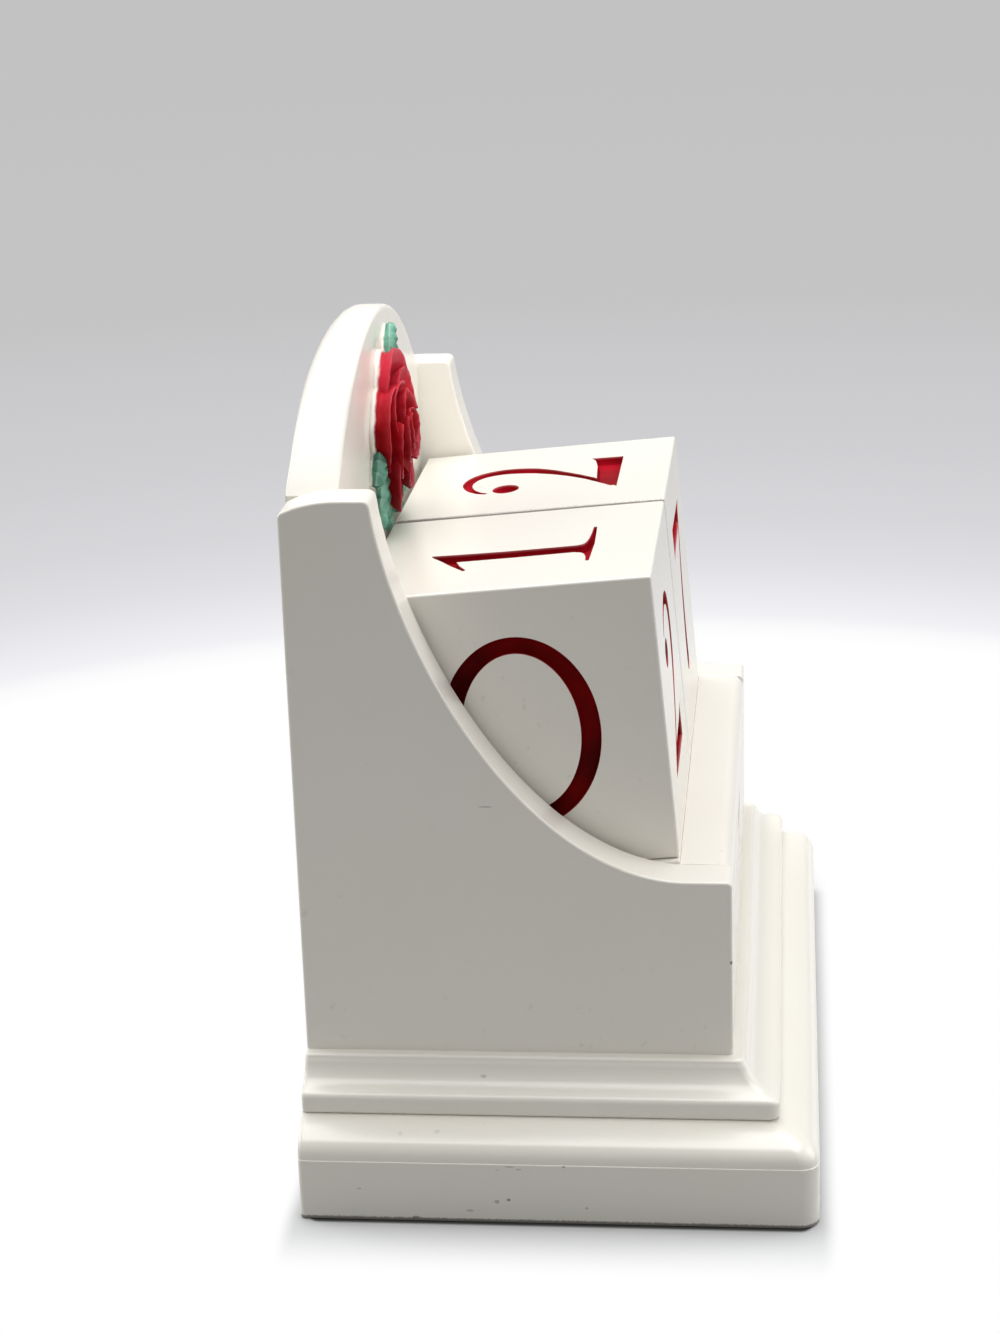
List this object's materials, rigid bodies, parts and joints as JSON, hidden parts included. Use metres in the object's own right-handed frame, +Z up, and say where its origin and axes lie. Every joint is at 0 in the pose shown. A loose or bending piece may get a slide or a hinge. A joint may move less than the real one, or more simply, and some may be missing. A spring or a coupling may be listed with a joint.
{
  "type": "desk calendar with drawer",
  "caption": "Painted wooden desk calendar: loose date cubes lean on a sloping seat over a small drawer, with an arched back and a moulded base.",
  "frame": {"origin": "on the desk, at the middle of the base's outline", "axes": "-Y towards the front, where the drawer opens; +X to the viewer's right; +Z up"},
  "size_m": [0.1516, 0.0894, 0.1445],
  "materials": {
    "ivory_paint": "warm white satin-gloss paint over wood",
    "cube_paint": "warm white satin paint with red engraved numerals",
    "drawer_wood": "bare sanded wood",
    "screw_zinc": "zinc-plated steel",
    "rose_red": "cast resin, hand-painted in glossy red with lighter petal edges",
    "leaf_green": "cast resin, hand-painted in glossy blue-green with pale edges"
  },
  "bodies": {
    "case": {"lower_base_board": "ivory_paint", "upper_base_board": "ivory_paint", "base_screws": "screw_zinc", "left_side_panel": "ivory_paint", "right_side_panel": "ivory_paint", "back_panel": "ivory_paint", "front_ledge": "ivory_paint", "cube_seat": "ivory_paint", "rose_bloom": "rose_red", "top_leaf": "leaf_green", "left_leaves": "leaf_green", "right_leaves": "leaf_green"},
    "drawer": {"drawer_front": "ivory_paint", "drawer_left_side": "drawer_wood", "drawer_right_side": "drawer_wood", "drawer_back": "drawer_wood", "drawer_bottom": "drawer_wood"},
    "left_cube": {"left_date_cube": "cube_paint"},
    "right_cube": {"right_date_cube": "cube_paint"}
  },
  "joints": [
    {"name": "drawer_slide", "type": "slide", "parent": "case", "child": "drawer", "axis": [0, -1, 0], "range_m": [0, 0.046]},
    {"name": "left_cube_lift", "type": "slide", "parent": "case", "child": "left_cube", "axis": [0, -0.6, 0.8], "range_m": [0, 0.075]},
    {"name": "right_cube_lift", "type": "slide", "parent": "case", "child": "right_cube", "axis": [0, -0.6, 0.8], "range_m": [0, 0.075]}
  ]
}
